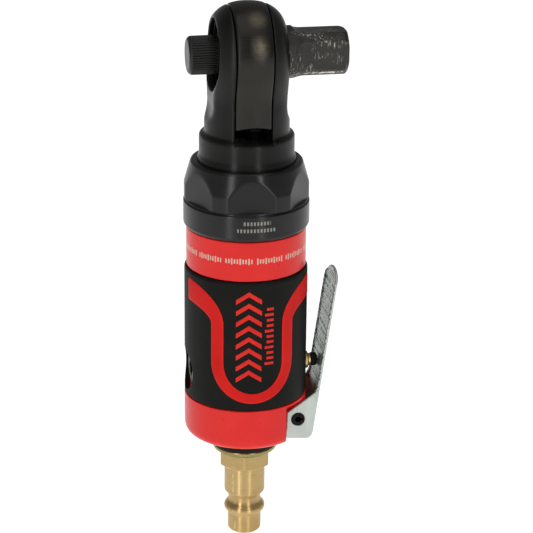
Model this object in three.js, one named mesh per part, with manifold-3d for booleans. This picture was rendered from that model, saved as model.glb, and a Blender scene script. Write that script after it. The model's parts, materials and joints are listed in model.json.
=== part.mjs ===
/**
 * Pneumatic ratchet wrench with a half-inch square drive. A vane motor turns a planetary reduction, whose
 * carrier is a crank. The crank swings a toothed yoke, and a reversible pawl in the drive spindle turns
 * each swing one way into rotation of the square.
 *
 * Millimetres, +Z from the air inlet towards the ratchet head. The pieces are drawn in the tool's frame:
 * Z is the axis of the motor and crank, X the axis of the drive spindle, and the two axes cross at its
 * origin. The whole tool is then moved along X, so that the origin of the exported group is the centre of
 * the square drive's end face.
 */
import * as THREE from 'three';
import { mergeVertices } from 'three/addons/utils/BufferGeometryUtils.js';
import Module from 'manifold-3d';

const wasm = await Module();
wasm.setup();

// ---- Driving dimensions ----

// Ratchet head, about the spindle axis X
const SQUARE_DRIVE = 12.7;
const SQUARE_CHAMFER = 2;
const DRIVE_REACH = 29.5;
const KNOB_REACH = 18;
const EYE_RADIUS = 15.6;
const CHEEK = 11.15;
const CHEEK_RADIUS = 7.2;
const DOME_FULLNESS = 0.91;
const YOKE_HALF = 5.4;
const SLOT_HALF = 5.65;
const YOKE_TEETH = 36;
const TOOTH_TIP = 9.6;
const BARREL_RADIUS = 8.8;
const COLLAR_RADIUS = 7.85;
const PAWL_PIVOT = 5.8;
const PAWL_TILT = THREE.MathUtils.degToRad(7.5);
const DETENT_LEAN = THREE.MathUtils.degToRad(30);

// Neck, nut and crank, about the motor axis Z
const NECK_RADIUS = 12.8;
const HEAD_COLLAR = 14.35;
const SLOT_FLOOR = -24.5;
const FLANGE_TOP = -36;
const NUT_TOP = -32.2;
const NUT_BOTTOM = -52.6;
const NUT_FLATS = 35;
const NUT_TURN = THREE.MathUtils.degToRad(-94.5);
const PLUG_TURN = THREE.MathUtils.degToRad(-11);
const CRANK_THROW = 2;
const CARRIER_TOP = -42.8;
const CARRIER_BOTTOM = -47.2;

// Planetary reduction
const MODULE = 0.6;
const PRESSURE = THREE.MathUtils.degToRad(25);
const ADDENDUM = 0.5;
const DEDENDUM = 0.68;
const BACKLASH = 0.07;
const SUN_TEETH = 12;
const PLANET_TEETH = 15;
const RING_TEETH = SUN_TEETH + 2 * PLANET_TEETH;
const PLANET_COUNT = 3;
const PLANET_ORBIT = MODULE * (SUN_TEETH + PLANET_TEETH) / 2;

// Motor and body
const MOTOR_BORE = 15.7;
const STATOR_RADIUS = 15.5;
const FRONT_PLATE = [-61, -56.8];
const LINER = [-84.9, -61.1];
const ROTOR = [-84.6, -61.4];
const REAR_PLATE = [-89, -85];
const LINER_BORE = 12.2;
const LINER_OFFSET = 1.2;
const ROTOR_RADIUS = 10.7;
const BLADE_COUNT = 5;
const BODY_RADIUS = 18.9;
const GRIP_TOP = -65.2;
const GRIP_BOTTOM = -107.2;
const BODY_BOTTOM = -120.7;

// Throttle valve, along X, and its lever
const VALVE_Z = -99;
const VALVE_BORE = 5;
const LEVER_PIVOT = [15.5, 0, -116];
const LEVER_TILT = THREE.MathUtils.degToRad(8);
const LEVER_HALF = 7.6;
const LEVER_SHEET = 0.9;
const LEVER_BACK = 5.9;
const LEVER_LENGTH = 48.6;

// Facets round a turned piece
const COARSE = 12;
const SMALL = 16;
const MEDIUM = 24;
const LARGE = 36;

// ---- Materials ----

function finish(color, roughness, metalness) {
  return new THREE.MeshStandardMaterial({ color, roughness, metalness });
}

const MATERIALS = {
  blackSteel: finish(0x2d2d2a, 0.38, 0.9),
  nutBlack: finish(0x1b1c1b, 0.28, 0.8),
  driveSteel: finish(0x45423d, 0.45, 0.9),
  hardSteel: finish(0x8d9092, 0.35, 1),
  springSteel: finish(0xa3a6a8, 0.3, 1),
  zincSteel: finish(0xb4bcbb, 0.42, 1),
  redPaint: finish(0xdb3a34, 0.3, 0.1),
  rubber: finish(0x232523, 0.75, 0),
  brass: finish(0xc8aa64, 0.3, 1),
  oliveBrass: finish(0x7d7448, 0.4, 1),
  aluminium: finish(0xb9bcbe, 0.45, 1),
  bronze: finish(0xa57a46, 0.4, 1),
  composite: finish(0x6b4a2f, 0.7, 0),
  blackPlastic: finish(0x161616, 0.5, 0),
  felt: finish(0x9a958a, 0.95, 0),
};

// ---- Solids ----

/** Shares the vertices of a closed geometry, with only their positions left. */
function weld(geometry) {
  const bare = geometry.index ? geometry.toNonIndexed() : geometry.clone();
  bare.deleteAttribute('normal');
  bare.deleteAttribute('uv');
  return mergeVertices(bare, 1e-5);
}

/** Six times the volume that triangles close in, negative when they face inwards. */
function signedVolume(corners, triangles) {
  const [a, b, c] = [new THREE.Vector3(), new THREE.Vector3(), new THREE.Vector3()];
  let total = 0;
  for (let i = 0; i < triangles.length; i += 3) {
    a.fromArray(corners, 3 * triangles[i]);
    b.fromArray(corners, 3 * triangles[i + 1]);
    c.fromArray(corners, 3 * triangles[i + 2]);
    total += a.dot(b.cross(c));
  }
  return total;
}

/** A closed geometry as a manifold solid with its faces pointing out. */
function solid(geometry) {
  const welded = weld(geometry);
  const corners = welded.getAttribute('position').array;
  const index = welded.index.array;
  const triangles = [];
  for (let i = 0; i < index.length; i += 3) {
    const [a, b, c] = index.subarray(i, i + 3);
    if (a !== b && b !== c && c !== a) triangles.push(a, b, c);
  }
  if (signedVolume(corners, triangles) < 0) triangles.reverse();
  return new wasm.Manifold(new wasm.Mesh({
    numProp: 3,
    vertProperties: new Float32Array(corners),
    triVerts: new Uint32Array(triangles),
  }));
}

/** A manifold solid as a three.js geometry. */
function geometryOf(body) {
  const mesh = body.getMesh();
  const geometry = new THREE.BufferGeometry();
  geometry.setAttribute('position', new THREE.BufferAttribute(new Float32Array(mesh.vertProperties), 3));
  geometry.setIndex(new THREE.BufferAttribute(new Uint32Array(mesh.triVerts), 1));
  return geometry;
}

function joined(...pieces) {
  return geometryOf(pieces.map(solid).reduce((whole, piece) => whole.add(piece)));
}

function cut(base, ...tools) {
  return geometryOf(tools.map(solid).reduce((left, tool) => left.subtract(tool), solid(base)));
}

function common(...pieces) {
  return geometryOf(pieces.map(solid).reduce((shared, piece) => shared.intersect(piece)));
}

/** Turns [radius, height] corners about Z. A profile that is off the axis closes on itself. */
function turned(profile, segments = MEDIUM) {
  const points = profile.map(([radius, height]) => new THREE.Vector2(radius, height));
  if (profile[0][0] > 0) points.push(points[0].clone());
  return new THREE.LatheGeometry(points, segments).rotateX(Math.PI / 2);
}

function rod(radius, [low, high], segments = SMALL) {
  return turned([[0, low], [radius, low], [radius, high], [0, high]], segments);
}

function pipe(outer, inner, [low, high], segments = MEDIUM) {
  return turned([[outer, low], [outer, high], [inner, high], [inner, low]], segments);
}

/** Lays a piece drawn along Z along +X, with its Y kept. */
function alongX(geometry) {
  return geometry.rotateY(Math.PI / 2);
}

/** Lays a piece drawn along Z along +Y, with its X kept. */
function alongY(geometry) {
  return geometry.rotateX(-Math.PI / 2);
}

function box([x0, x1], [y0, y1], [z0, z1]) {
  const middle = [(x0 + x1) / 2, (y0 + y1) / 2, (z0 + z1) / 2];
  return new THREE.BoxGeometry(x1 - x0, y1 - y0, z1 - z0).translate(...middle);
}

function shapeOf(outline) {
  return outline instanceof THREE.Shape
    ? outline
    : new THREE.Shape(outline.map(([x, y]) => new THREE.Vector2(x, y)));
}

/** Extrudes an outline in X and Y between two heights. */
function prism(outline, [low, high], curveSegments = 6) {
  const options = { depth: high - low, bevelEnabled: false, curveSegments };
  return new THREE.ExtrudeGeometry(shapeOf(outline), options).translate(0, 0, low);
}

/** Extrudes an outline in Y and Z between two places along X. */
function prismX(outline, span) {
  const toX = new THREE.Matrix4().makeBasis(
    new THREE.Vector3(0, 1, 0),
    new THREE.Vector3(0, 0, 1),
    new THREE.Vector3(1, 0, 0),
  );
  return prism(outline, span).applyMatrix4(toX);
}

/** Extrudes an outline in X and Z between two places along Y. */
function prismY(outline, [low, high]) {
  return prism(outline, [-high, -low]).rotateX(Math.PI / 2);
}

function polar(radius, angle) {
  return [radius * Math.cos(angle), radius * Math.sin(angle)];
}

function polygon(sides, acrossFlats, turn = 0) {
  const corner = acrossFlats / 2 / Math.cos(Math.PI / sides);
  return Array.from({ length: sides }, (_, i) => polar(corner, turn + (2 * i + 1) * Math.PI / sides));
}

/** Points along an arc about the origin, both ends included. */
function arc(radius, from, to, steps) {
  return Array.from({ length: steps + 1 }, (_, i) => polar(radius, from + (to - from) * i / steps));
}

/** Pairs of outline points that repeat round a circle, such as ridges and furrows. */
function toothed(count, pattern) {
  const pitch = 2 * Math.PI / count;
  return Array.from({ length: count }, (_, i) => (
    pattern.map(([radius, place]) => polar(radius, (i + place) * pitch))
  )).flat();
}

/** An involute gear with a tooth centred on +X. Swell widens each side of a tooth at the pitch circle. */
function gearOutline(teeth, addendum, dedendum, swell) {
  const pitchRadius = MODULE * teeth / 2;
  const base = pitchRadius * Math.cos(PRESSURE);
  const involute = (angle) => Math.tan(angle) - angle;
  const halfTooth = Math.PI / teeth / 2 + swell / pitchRadius;
  const flank = [-dedendum, 0, addendum].map((height) => {
    const radius = pitchRadius + height;
    const along = Math.acos(Math.min(base / radius, 1));
    return [radius, halfTooth + involute(PRESSURE) - involute(along)];
  });
  const pitch = 2 * Math.PI / teeth;
  const climb = flank.map(([radius, half]) => [radius, -half / pitch]);
  const descent = flank.map(([radius, half]) => [radius, half / pitch]).reverse();
  return toothed(teeth, [...climb, ...descent]);
}

class Helix extends THREE.Curve {
  constructor(radius, length, turns) {
    super();
    Object.assign(this, { radius, length, turns });
  }

  getPoint(t, target = new THREE.Vector3()) {
    const angle = 2 * Math.PI * this.turns * t;
    return target.set(this.radius * Math.cos(angle), this.radius * Math.sin(angle), this.length * t);
  }
}

/** An open coil spring along Z, whose wire's centre runs from height 0 to its length. */
function coil(radius, wire, length, turns) {
  const section = shapeOf(polygon(4, 1.8 * wire));
  const steps = Math.round(9 * turns);
  return new THREE.ExtrudeGeometry(section, { steps, extrudePath: new Helix(radius, length, turns) });
}

function torus(radius, thickness, z = 0) {
  const around = arc(thickness, 0, 2 * Math.PI, 6).slice(0, -1);
  return turned(around.map(([r, height]) => [radius + r, z + height]), SMALL);
}

// ---- Ratchet head ----

/** The domed eye of the head, from cheek to cheek about X. */
function eye() {
  const steps = 10;
  const fuller = (share) => Math.sign(share) * Math.abs(share) ** DOME_FULLNESS;
  const dome = Array.from({ length: steps + 1 }, (_, i) => {
    const turn = Math.PI * i / steps;
    const rise = (EYE_RADIUS - CHEEK_RADIUS) * fuller(Math.sin(turn));
    return [CHEEK_RADIUS + rise, -CHEEK * fuller(Math.cos(turn))];
  });
  return alongX(turned([[0, -CHEEK], ...dome, [0, CHEEK]], LARGE));
}

/** Cuts a neck's flat on one side, with the concave run-out of the cutter at its foot. */
function neckFlat(side) {
  const runOut = 6.8;
  const foot = -15.2;
  const block = box([CHEEK, 20], [-20, 20], [foot, 3]);
  const cutter = alongY(rod(runOut, [-20, 20], MEDIUM)).translate(CHEEK + runOut, 0, foot);
  return joined(block, cutter).scale(side, 1, 1);
}

function headHousing() {
  const neck = cut(rod(NECK_RADIUS, [-24, 0], LARGE), neckFlat(1), neckFlat(-1));
  const foot = turned([
    [0, -47.5], [15.5, -47.5], [15.5, -44.8], [16.1, -44.8], [16.1, FLANGE_TOP],
    [HEAD_COLLAR + 0.2, FLANGE_TOP], [HEAD_COLLAR + 0.2, -31.4], [HEAD_COLLAR, -30.8],
    [HEAD_COLLAR, -25], [14, -24.3], [NECK_RADIUS, -23.3], [0, -23.3],
  ], LARGE);
  const spindleBore = alongX(turned([
    [0, -13], [10.8, -13], [10.8, -8.65], [11.4, -8.65], [11.4, -7.75], [10.8, -7.75],
    [10.8, -6.9], [9, -6.9], [9, 0], [8, 0], [8, 13], [0, 13],
  ], LARGE));
  const crankBore = turned([
    [0, -50], [13.4, -50], [13.4, -42], [8.5, -42], [8.5, -28], [8, -28],
    [8, SLOT_FLOOR - 1], [6.9, SLOT_FLOOR - 1], [6.9, -14.6], [0, -14.6],
  ]);
  const slot = box([-SLOT_HALF, SLOT_HALF], [-20, 20], [SLOT_FLOOR, 20]);
  return cut(joined(eye(), neck, foot), slot, spindleBore, crankBore);
}

function yoke() {
  const tailRadius = NECK_RADIUS - 0.1;
  const forkHalf = 6.8;
  const forkTop = -13.5;
  const archRadius = 14;
  const archTop = -19.6;
  const blank = joined(eye(), rod(tailRadius, [-23, 0], LARGE));
  const slab = box([-YOKE_HALF, YOKE_HALF], [-20, 20], [-23, 20]);
  const root = TOOTH_TIP + 1.1;
  const teeth = toothed(YOKE_TEETH, [[TOOTH_TIP, -0.08], [TOOTH_TIP, 0.08], [root, 0.36], [root, 0.64]]);
  const arch = alongY(rod(archRadius, [-20, 20], LARGE)).translate(0, 0, archTop - archRadius);
  const fork = box([-10, 10], [-forkHalf, forkHalf], [-30, forkTop]);
  return cut(common(blank, slab), prismX(teeth, [-6, 6]), arch, fork);
}

/** The square's outline in Y and Z, with its corners taken off. */
function squareOutline() {
  const half = SQUARE_DRIVE / 2;
  const inset = half - SQUARE_CHAMFER;
  return [
    [half, inset], [inset, half], [-inset, half], [-half, inset],
    [-half, -inset], [-inset, -half], [inset, -half], [half, -inset],
  ];
}

const BALL_X = 24;
const BALL_RADIUS = 1.8;

function driveSpindle() {
  const round = alongX(turned([
    [0, -5.2], [7, -5.2], [7, -6.7], [BARREL_RADIUS, -6.7], [BARREL_RADIUS, 5.5],
    [COLLAR_RADIUS, 5.5], [COLLAR_RADIUS, 13.3], [6.4, 14.4], [0, 14.4],
  ], LARGE));
  const envelope = alongX(turned([
    [0, 13], [COLLAR_RADIUS, 13], [COLLAR_RADIUS, 28.3], [6.65, DRIVE_REACH], [0, DRIVE_REACH],
  ], LARGE));
  const square = common(prismX(squareOutline(), [13, DRIVE_REACH]), envelope);
  const pocket = box([-3.1, 3.1], [-10, 10], [1, 10]);
  const knobBore = alongX(rod(2.8, [-6, 3.2]));
  const pinHole = alongX(rod(1.05, [-6, 5], COARSE)).translate(0, 0, PAWL_PIVOT);
  const ballPocket = alongY(rod(BALL_RADIUS + 0.15, [0.2, 8])).translate(BALL_X, 0, 0);
  return cut(joined(round, square), pocket, knobBore, pinHole, ballPocket);
}

/** A double-ended pawl about its pivot, level, with three teeth at each end. */
function pawl() {
  const tip = TOOTH_TIP - 0.3;
  const root = tip - 0.8;
  const pitch = 2 * Math.PI / YOKE_TEETH;
  // the teeth lie on an arc that is centred on the spindle axis when the pawl is tilted over
  const centre = [-PAWL_PIVOT * Math.sin(PAWL_TILT), PAWL_PIVOT * (1 - Math.cos(PAWL_TILT))];
  const first = THREE.MathUtils.degToRad(24);
  const end = Array.from({ length: 7 }, (_, i) => {
    const [y, z] = polar(i % 2 ? tip : root, first + i * pitch / 2);
    return [centre[0] + y, centre[1] + z];
  });
  const right = [[1.5, 3.4], [7, 3.4], ...end, [2.2, 7.7]];
  const left = right.map(([y, z]) => [-y, z]).reverse();
  const outline = [[0, 4.15], ...right, ...left].map(([y, z]) => [y, z - PAWL_PIVOT]);
  return cut(prismX(outline, [-2.9, 2.9]), alongX(rod(1.1, [-4, 4], COARSE)));
}

const KNOB_NECK = -9.2;
const DETENT_REACH = 2.95;

/** The reversing knob: a shaft in the spindle, a retained flange and a knurled grip. */
function reverseKnob() {
  const grip = 5.8;
  const face = -KNOB_REACH;
  const core = alongX(turned([
    [0, face], [4.8, face], [grip - 0.25, face + 0.7], [grip - 0.25, KNOB_NECK - 0.4],
    [5.5, KNOB_NECK], [5.5, -6.5], [6.8, -6.5], [6.8, -5.3], [2.7, -5.3], [2.7, 3], [0, 3],
  ]));
  const ridges = prismX(toothed(36, [[grip, 0], [grip - 0.3, 0.5]]), [face + 0.7, KNOB_NECK - 0.4]);
  const detentHole = rod(1, [-1.9, 4], COARSE).rotateX(-DETENT_LEAN);
  return cut(joined(core, ridges), detentHole);
}

/** A round-nosed plunger along Z, drawn from its foot. */
function detentPin() {
  const radius = 0.9;
  const nose = arc(radius, 0, Math.PI / 2, 4).map(([r, z]) => [r, DETENT_REACH + z]);
  nose[nose.length - 1][0] = 0;
  return turned([[0, 0.9], [radius, 0.9], ...nose], COARSE);
}

function retainingRing() {
  const gap = THREE.MathUtils.degToRad(22);
  const outer = arc(11.2, gap, 2 * Math.PI - gap, 36);
  const inner = arc(9.6, 2 * Math.PI - gap, gap, 36);
  return prismX([...outer, ...inner], [-8.6, -7.8]);
}

function socketBall() {
  const half = arc(BALL_RADIUS, -Math.PI / 2, Math.PI / 2, 8);
  half[0][0] = 0;
  half[8][0] = 0;
  return turned(half, COARSE);
}

// ---- Clamp nut ----

function clampNut() {
  const blank = turned([
    [14.85, NUT_TOP], [14.85, -35.7], [16.4, -35.7], [16.4, -44.9], [17.2, -44.9],
    [17.2, NUT_BOTTOM], [18.6, NUT_BOTTOM], [19.1, -51.6], [19.1, -44.6], [18.7, -44.6],
    [18.7, -44.2], [BODY_RADIUS, -44.2], [BODY_RADIUS, -39.2], [17, -32.6], [16.6, NUT_TOP],
  ], LARGE);
  const outside = new THREE.Shape().absarc(0, 0, 25, 0, 2 * Math.PI);
  outside.holes.push(shapeOf(polygon(6, NUT_FLATS, NUT_TURN)));
  return cut(blank, prism(outside, [-44.2, -30]));
}

// ---- Crank and planetary reduction ----

function crankshaft() {
  const shaft = turned([
    [0, CARRIER_BOTTOM], [12.8, CARRIER_BOTTOM], [12.8, CARRIER_TOP], [6, CARRIER_TOP], [6, -27], [0, -27],
  ]);
  const crankPin = rod(2.6, [-28, -15.4]).translate(CRANK_THROW, 0, 0);
  const pinHoles = planetAngles().map((angle) => (
    rod(1.7, [-50, -43.4], COARSE).translate(...polar(PLANET_ORBIT, angle), 0)
  ));
  return cut(joined(shaft, crankPin), ...pinHoles);
}

function planetAngles() {
  return Array.from({ length: PLANET_COUNT }, (_, i) => 2 * Math.PI * i / PLANET_COUNT);
}

/** The turn that puts a planet in mesh with the sun, whose tooth is centred on +X. */
function planetPhase(angle) {
  const sunPitch = 2 * Math.PI / SUN_TEETH;
  const planetPitch = 2 * Math.PI / PLANET_TEETH;
  return angle + Math.PI - planetPitch * (0.5 - angle / sunPitch);
}

/** The turn that puts the ring gear's spaces in mesh with the planet at angle 0. */
function ringPhase() {
  const ringPitch = 2 * Math.PI / RING_TEETH;
  const planetPitch = 2 * Math.PI / PLANET_TEETH;
  return ringPitch * planetPhase(0) / planetPitch;
}

function planetGear() {
  const teeth = gearOutline(PLANET_TEETH, ADDENDUM, DEDENDUM, -BACKLASH);
  return cut(prism(teeth, [-55.6, -48]), rod(1.7, [-57, -47], COARSE));
}

function ringGear() {
  const spaces = gearOutline(RING_TEETH, DEDENDUM, ADDENDUM, BACKLASH);
  const rim = rod(STATOR_RADIUS - 0.1, [-56.5, -47.8], LARGE);
  return cut(rim, prism(spaces, [-58, -46]).rotateZ(ringPhase()));
}

// ---- Air motor ----

/** A disc that closes one end of the motor, with a blind bearing seat in its lower face. */
function endPlate([low, high], seatRadius, holeRadius) {
  const floor = high - 1;
  const seat = turned([
    [0, low - 1], [seatRadius, low - 1], [seatRadius, floor],
    [holeRadius, floor], [holeRadius, high + 1], [0, high + 1],
  ]);
  return cut(rod(STATOR_RADIUS, [low, high], LARGE), seat);
}

function frontEndPlate() {
  return cut(endPlate(FRONT_PLATE, 8.1, 6), dowelHole([FRONT_PLATE[0] - 1, -59]));
}

function rearEndPlate() {
  const [low, high] = REAR_PLATE;
  const inlet = box([7.4, 12], [-1.5, 1.5], [low - 1, high + 1]);
  const exhausts = [-1, 1].map((side) => (
    rod(1.8, [low - 1, high + 1], COARSE).translate(0, side * 14.2, 0)
  ));
  return cut(endPlate(REAR_PLATE, 5.3, 3.6), inlet, ...exhausts, dowelHole([-87.8, high + 1]));
}

const DOWEL_X = -13.3;

/** The blind or through hole of the dowel that lines up the plates and the liner. */
function dowelHole(span) {
  return rod(1.15, span, COARSE).translate(DOWEL_X, 0, 0);
}

function cylinderLiner() {
  const blank = rod(STATOR_RADIUS, LINER, LARGE);
  const bore = rod(LINER_BORE, [-90, -60], LARGE).translate(0, LINER_OFFSET, 0);
  const ports = [-68, -73, -78].map((z) => (
    alongY(rod(1.5, [8, 20], COARSE)).translate(0, 0, z).rotateZ(THREE.MathUtils.degToRad(50))
  ));
  return cut(blank, bore, dowelHole([-90, -60]), ...ports);
}

function bladeAngles() {
  return Array.from({ length: BLADE_COUNT }, (_, i) => Math.PI / 2 + 2 * Math.PI * i / BLADE_COUNT);
}

const BLADE_DEPTH = 6.3;

function rotor() {
  const [low, high] = ROTOR;
  const body = turned([
    [0, -88.8], [3, -88.8], [3, low], [ROTOR_RADIUS, low], [ROTOR_RADIUS, high],
    [4.3, high], [4.3, -56.6], [2.9, -56.6], [2.9, -56.3], [0, -56.3],
  ]);
  const pinion = prism(gearOutline(SUN_TEETH, ADDENDUM, DEDENDUM, -BACKLASH), [-56.5, -48.2]);
  const slots = bladeAngles().map((angle) => (
    box([ROTOR_RADIUS - BLADE_DEPTH - 0.2, 12], [-0.8, 0.8], [low - 1, high + 1]).rotateZ(angle)
  ));
  return cut(joined(body, pinion), ...slots);
}

function rotorBlade() {
  const [low, high] = ROTOR;
  return box([ROTOR_RADIUS - BLADE_DEPTH, ROTOR_RADIUS], [-0.65, 0.65], [low, high]);
}

// ---- Body ----

function motorHousing() {
  const blank = turned([
    [0, BODY_BOTTOM], [16.4, BODY_BOTTOM], [17.4, -120.45], [18.2, -119.9], [18.7, -119.1],
    [BODY_RADIUS, -118.1], [BODY_RADIUS, GRIP_BOTTOM], [17.2, GRIP_BOTTOM], [17.2, GRIP_TOP],
    [18.2, GRIP_TOP], [18.2, -52.9], [17, -52.9], [17, -45], [MOTOR_BORE, -45],
    [MOTOR_BORE, -89.2], [0, -89.2],
  ], LARGE);
  const valveBore = alongX(rod(VALVE_BORE, [-25, 25], MEDIUM)).translate(0, 0, VALVE_Z);
  const spotFace = alongX(rod(6.4, [-25, -15.5], MEDIUM)).translate(0, 0, VALVE_Z);
  const inlet = rod(6.7, [BODY_BOTTOM - 1, -109], MEDIUM);
  const feed = rod(3, [-110, VALVE_Z]).translate(-4, 0, 0);
  const delivery = rod(1.7, [VALVE_Z, -88], COARSE).translate(7.4, 0, 0);
  const exhausts = [-1, 1].map(slantedExhaust);
  const pockets = [-1, 1].map((side) => (
    box([10.1, 22], side > 0 ? [5.4, 20] : [-20, -5.4], [BODY_BOTTOM - 1, GRIP_BOTTOM - 1])
  ));
  const pivotHole = alongY(rod(2.05, [-8, 8])).translate(...LEVER_PIVOT);
  return cut(blank, valveBore, spotFace, inlet, feed, delivery, ...exhausts, ...pockets, pivotHole);
}

/** An exhaust drilled from the motor's floor to the deflector at the rear. */
function slantedExhaust(side) {
  const top = new THREE.Vector3(0, side * 13.4, -88);
  const bottom = new THREE.Vector3(0, side * 8.3, BODY_BOTTOM - 1);
  const along = top.clone().sub(bottom);
  const length = along.length();
  const turn = new THREE.Quaternion().setFromUnitVectors(new THREE.Vector3(0, 0, 1), along.normalize());
  return rod(1.3, [0, length], COARSE).applyQuaternion(turn).translate(...bottom.toArray());
}

function gripSleeve() {
  const sleeve = turned([
    [17.35, GRIP_BOTTOM + 0.2], [18.7, GRIP_BOTTOM + 0.2], [BODY_RADIUS, GRIP_BOTTOM + 0.6],
    [BODY_RADIUS - 0.2, GRIP_TOP - 0.8], [18.45, GRIP_TOP - 0.25], [17.35, GRIP_TOP - 0.25],
  ], LARGE);
  const stemHole = alongX(rod(4.8, [10, 25])).translate(0, 0, VALVE_Z);
  const capHole = alongX(rod(6.8, [-25, -10], MEDIUM)).translate(0, 0, VALVE_Z - 0.6);
  return cut(sleeve, stemHole, capHole);
}

// ---- Throttle lever ----

/** Folded sheet about its pivot: X away from the tool, Z along the lever. */
function triggerLever() {
  const back = LEVER_BACK;
  const lip = back - 1.3;
  const profile = [
    [-2.8, -6.7], [4, -6.3], [5.2, -5.6], [back, -4.4], [back, LEVER_LENGTH], [lip, LEVER_LENGTH],
    [lip, 12], [3.8, 9], [-3.9, 2],
  ];
  const bend = 2.1;
  const section = new THREE.Shape();
  section.moveTo(-6, -LEVER_HALF);
  section.lineTo(back - bend, -LEVER_HALF);
  section.absarc(back - bend, -LEVER_HALF + bend, bend, -Math.PI / 2, 0);
  section.absarc(back - bend, LEVER_HALF - bend, bend, 0, Math.PI / 2);
  section.lineTo(-6, LEVER_HALF);
  const tip = 6.8;
  const front = new THREE.Shape();
  front.moveTo(-LEVER_HALF, -10);
  front.lineTo(LEVER_HALF, -10);
  front.absarc(LEVER_HALF - tip, LEVER_LENGTH - tip, tip, 0, Math.PI / 2);
  front.absarc(-LEVER_HALF + tip, LEVER_LENGTH - tip, tip, Math.PI / 2, Math.PI);
  const inside = new THREE.Shape();
  const innerBend = bend - LEVER_SHEET;
  const [innerBack, innerHalf] = [back - LEVER_SHEET, LEVER_HALF - LEVER_SHEET];
  inside.moveTo(-10, -innerHalf);
  inside.lineTo(innerBack - innerBend, -innerHalf);
  inside.absarc(innerBack - innerBend, -innerHalf + innerBend, innerBend, -Math.PI / 2, 0);
  inside.absarc(innerBack - innerBend, innerHalf - innerBend, innerBend, 0, Math.PI / 2);
  inside.lineTo(-10, innerHalf);
  const folded = common(
    prismY(profile, [-LEVER_HALF, LEVER_HALF]),
    prism(section, [-10, LEVER_LENGTH + 1]),
    prismX(front, [-10, 10]),
  );
  const pinHole = alongY(rod(2.1, [-10, 10]));
  return cut(folded, prism(inside, [-12, LEVER_LENGTH + 5]), pinHole);
}

/** A slotted spring pin along Y. */
function leverPin() {
  const slit = THREE.MathUtils.degToRad(14);
  const outer = arc(1.95, slit, 2 * Math.PI - slit, 20);
  const inner = arc(1, 2 * Math.PI - slit, slit, 16);
  return prismY([...outer, ...inner], [-LEVER_HALF - 0.1, LEVER_HALF + 0.1]);
}

// ---- Throttle valve, each piece about X ----

function valveBushing() {
  return alongX(turned([
    [1.6, 9], [4.85, 9], [4.85, 16.2], [2.75, 16.2], [2.75, 19.4], [2.5, 19.7], [2.25, 19.7],
    [2.25, 15.8], [1.6, 15.8], [1.6, 13.2], [2.65, 13.2], [2.65, 11.6], [1.6, 11.6],
  ], SMALL));
}

function valveStem() {
  return alongX(turned([
    [0, -2], [1.3, -2], [1.3, 18.4], [1.9, 18.4], [1.9, 20.5], [1, 20.5], [1, 21.6], [0, 21.6],
  ], SMALL));
}

function stemCap() {
  return alongX(turned([
    [0, 21.7], [1.1, 21.7], [1.1, 20.6], [2.1, 20.6], [2.1, 22.2], [1.5, 22.6], [0.8, 22.6], [0.7, 22.8],
    [0, 22.8],
  ], SMALL));
}

function valvePoppet() {
  return alongX(turned([
    [1.4, 0.7], [4.2, 0.7], [4.2, 2], [3.4, 2.7], [1.4, 2.7],
  ], SMALL));
}

function valveSeat() {
  return alongX(turned([[4.85, 3], [4.85, 5], [3, 5], [3, 3.5], [3.5, 3]], SMALL));
}

function valveCap() {
  const body = alongX(turned([
    [0, -17.1], [5.5, -17.1], [5.9, -16.7], [5.9, -15.7], [4.7, -15.7], [4.7, -9],
    [3.9, -9], [3.9, -12.5], [0, -12.5],
  ], MEDIUM));
  return cut(body, prismX(polygon(6, 5, Math.PI / 6), [-20, -14.6]));
}

function valveSpring() {
  return alongX(coil(3.1, 0.35, 11.2, 5.5));
}

// ---- Air inlet and rear exhaust ----

function exhaustDeflector() {
  const low = -125.1;
  const high = BODY_BOTTOM - 0.1;
  const ring = turned([
    [7, low], [10.2, low], [10.4, low + 0.3], [10.4, high], [9.7, high], [9.7, low + 1], [7, low + 1],
  ], LARGE);
  const outlets = [-40, 0, 40].map((degrees) => (
    box([9, 12], [-1.6, 1.6], [low + 1.5, high - 0.9]).rotateZ(THREE.MathUtils.degToRad(90 + degrees))
  ));
  return cut(ring, ...outlets);
}

function inletPlug() {
  const turnedPart = turned([
    [3.7, -155.9], [4.7, -155.9], [5.2, -155.4], [5.2, -149.6], [6.1, -148.4], [6.4, -148],
    [6.4, -147], [6, -146.7], [5.1, -145.2], [5.1, -143.6], [6.35, -142], [6.35, -132.6],
    [8.6, -132.6], [8.6, -127.4], [6.5, -127.4], [6.5, -110.2], [4.4, -110.2], [4.4, -113.5],
    [3.7, -113.5],
  ], MEDIUM);
  const hexLow = -132.8;
  const hexHigh = -127.4;
  const hex = prism(polygon(6, 15, PLUG_TURN), [hexLow, hexHigh]);
  const dome = turned([
    [6, hexLow], [7.4, hexLow], [8.7, hexLow + 0.9], [8.7, hexHigh - 0.4], [8.3, hexHigh], [6, hexHigh],
  ], MEDIUM);
  const outside = joined(rod(6.6, [-160, -105], MEDIUM), common(hex, dome));
  return common(turnedPart, outside);
}

function inletScreen() {
  return turned([
    [0, -110.9], [3.9, -110.9], [3.9, -113.3], [3.2, -113.3], [2.4, -111.6], [0, -111.6],
  ], SMALL);
}

// ---- Assembly in the tool's frame ----

const airRatchet = new THREE.Group();
airRatchet.name = 'air_ratchet';
airRatchet.position.x = -DRIVE_REACH;

/** Adds a named mesh to the tool, and returns it so that it can be placed. */
function add(name, geometry, material, parent = airRatchet) {
  const mesh = new THREE.Mesh(geometryOf(solid(geometry)), material);
  mesh.name = name;
  parent.add(mesh);
  return mesh;
}

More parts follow.
